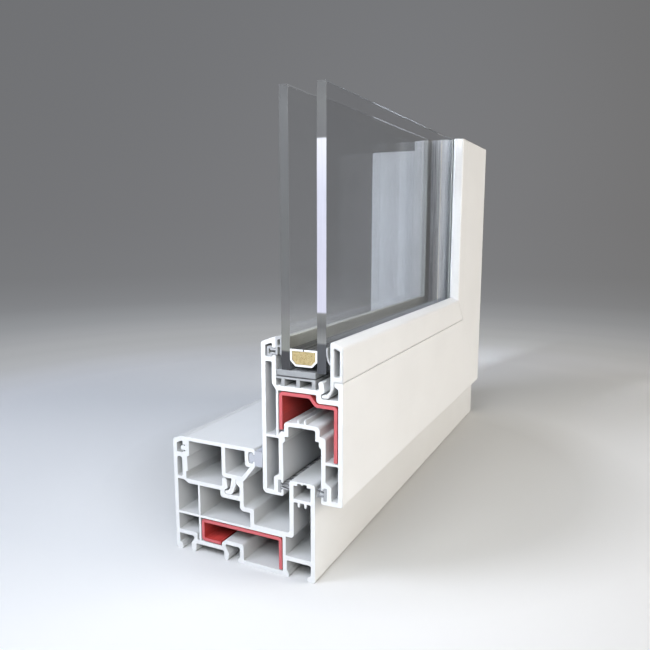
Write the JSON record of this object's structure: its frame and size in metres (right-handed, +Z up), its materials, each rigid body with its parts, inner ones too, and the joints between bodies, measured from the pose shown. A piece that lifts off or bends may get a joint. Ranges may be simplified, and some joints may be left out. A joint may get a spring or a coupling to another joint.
{
  "type": "sliding window corner section",
  "caption": "Cut-away corner of a white plastic sliding window: chambered outer frame with steel, snap-in cover and rail, and a double-glazed sash with brush seals that slides along it.",
  "frame": {"origin": "middle of the footprint's box at floor level", "axes": "+X from the weather face to the room, +Y along the sill towards the corner, +Z up the jamb"},
  "size_m": [0.137, 0.451, 0.325],
  "materials": {
    "white_plastic": "smooth white extruded plastic",
    "red_steel": "red primed rolled steel",
    "grey_rubber": "matte grey sealing rubber",
    "clear_glass": "clear float glass",
    "spacer_metal": "bare rolled aluminium",
    "desiccant": "packed drying beads",
    "grey_plastic": "moulded grey plastic",
    "brush_pile": "grey woven pile"
  },
  "bodies": {
    "frame": {"frame_sill": "white_plastic", "frame_jamb": "white_plastic", "frame_steel_sill": "red_steel", "frame_steel_jamb": "red_steel", "cover_sill": "white_plastic", "cover_jamb": "white_plastic", "cover_seal_sill": "grey_rubber", "cover_seal_jamb": "grey_rubber"},
    "sash": {"sash_rail": "white_plastic", "sash_stile": "white_plastic", "sash_steel_rail": "red_steel", "sash_steel_stile": "red_steel", "bead_rail": "white_plastic", "bead_stile": "white_plastic", "bead_gasket_rail": "grey_rubber", "bead_gasket_stile": "grey_rubber", "glass_outer": "clear_glass", "glass_inner": "clear_glass", "spacer_rail": "spacer_metal", "spacer_stile": "spacer_metal", "desiccant_rail": "desiccant", "desiccant_stile": "desiccant", "glazing_gasket_rail": "grey_rubber", "glazing_gasket_stile": "grey_rubber", "setting_block": "grey_plastic", "glazing_bridge": "grey_plastic", "brush_outer_rail": "brush_pile", "brush_inner_rail": "brush_pile", "brush_outer_stile": "brush_pile", "brush_inner_stile": "brush_pile"}
  },
  "joints": [
    {"name": "sash_slide", "type": "slide", "parent": "frame", "child": "sash", "axis": [0, -1, 0], "range_m": [0, 0.2]}
  ]
}
